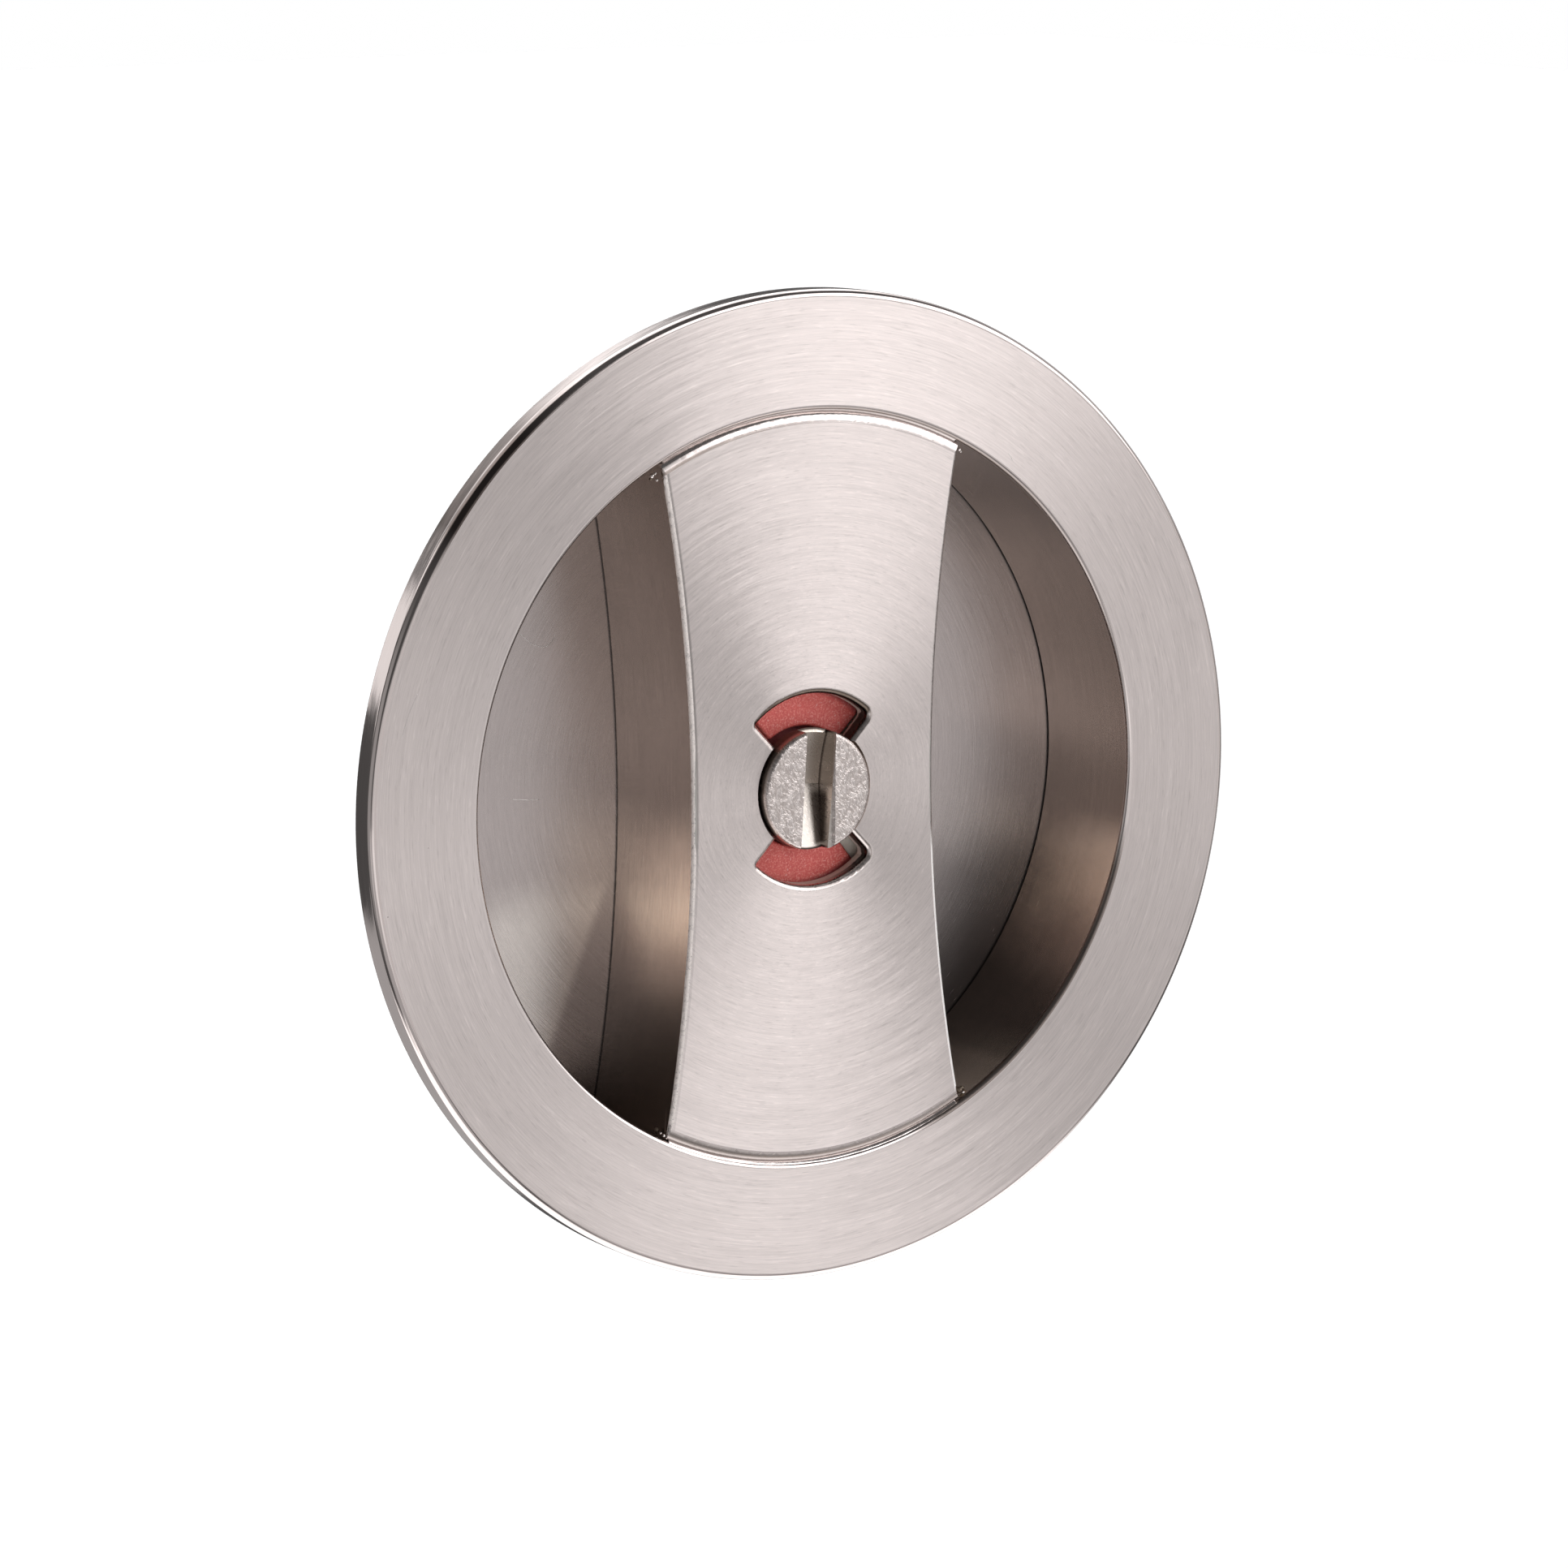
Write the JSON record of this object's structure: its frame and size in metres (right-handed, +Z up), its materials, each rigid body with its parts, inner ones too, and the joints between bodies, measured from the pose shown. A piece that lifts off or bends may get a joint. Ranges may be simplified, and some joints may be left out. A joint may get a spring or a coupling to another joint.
{
  "type": "pocket door privacy flush pull",
  "caption": "Round satin nickel flush pull with a waisted bridge, a coin-slot emergency turn, a red occupancy indicator behind fan windows and through-bolt posts.",
  "frame": {"origin": "on the turning axis, in the plane where the ring sits on the door", "axes": "+Y into the door along the barrel and the turn, the trim looks toward -Y, +Z up along the bridge"},
  "size_m": [0.0666, 0.0326, 0.0666],
  "materials": {
    "satin_nickel": "satin, turned brushing",
    "cast_nickel": "cast, lightly worn",
    "red_paint": "matte paint",
    "bare_disc": "plain",
    "spring_steel": "plain",
    "bushing_brass": "machined",
    "zinc_plated_steel": "bright zinc plate"
  },
  "bodies": {
    "trim": {"rose_ring": "satin_nickel", "cup_floor": "satin_nickel", "bridge": "satin_nickel", "wave_washer": "spring_steel", "turn_bushing": "bushing_brass", "bearing_plate": "zinc_plated_steel", "bearing_screws": "zinc_plated_steel", "post_washers": "zinc_plated_steel", "fixing_post_upper": "zinc_plated_steel", "fixing_post_lower": "zinc_plated_steel"},
    "turn": {"coin_turn": "cast_nickel", "indicator_flag": "red_paint", "indicator_disc": "bare_disc", "retaining_clip": "spring_steel", "tailpiece": "zinc_plated_steel", "tailpiece_pin": "spring_steel"}
  },
  "joints": [
    {"name": "turn_hinge", "type": "hinge", "parent": "trim", "child": "turn", "pos_m": [0, 0, 0], "axis": [0, -1, 0], "range_deg": [0, 90]}
  ]
}
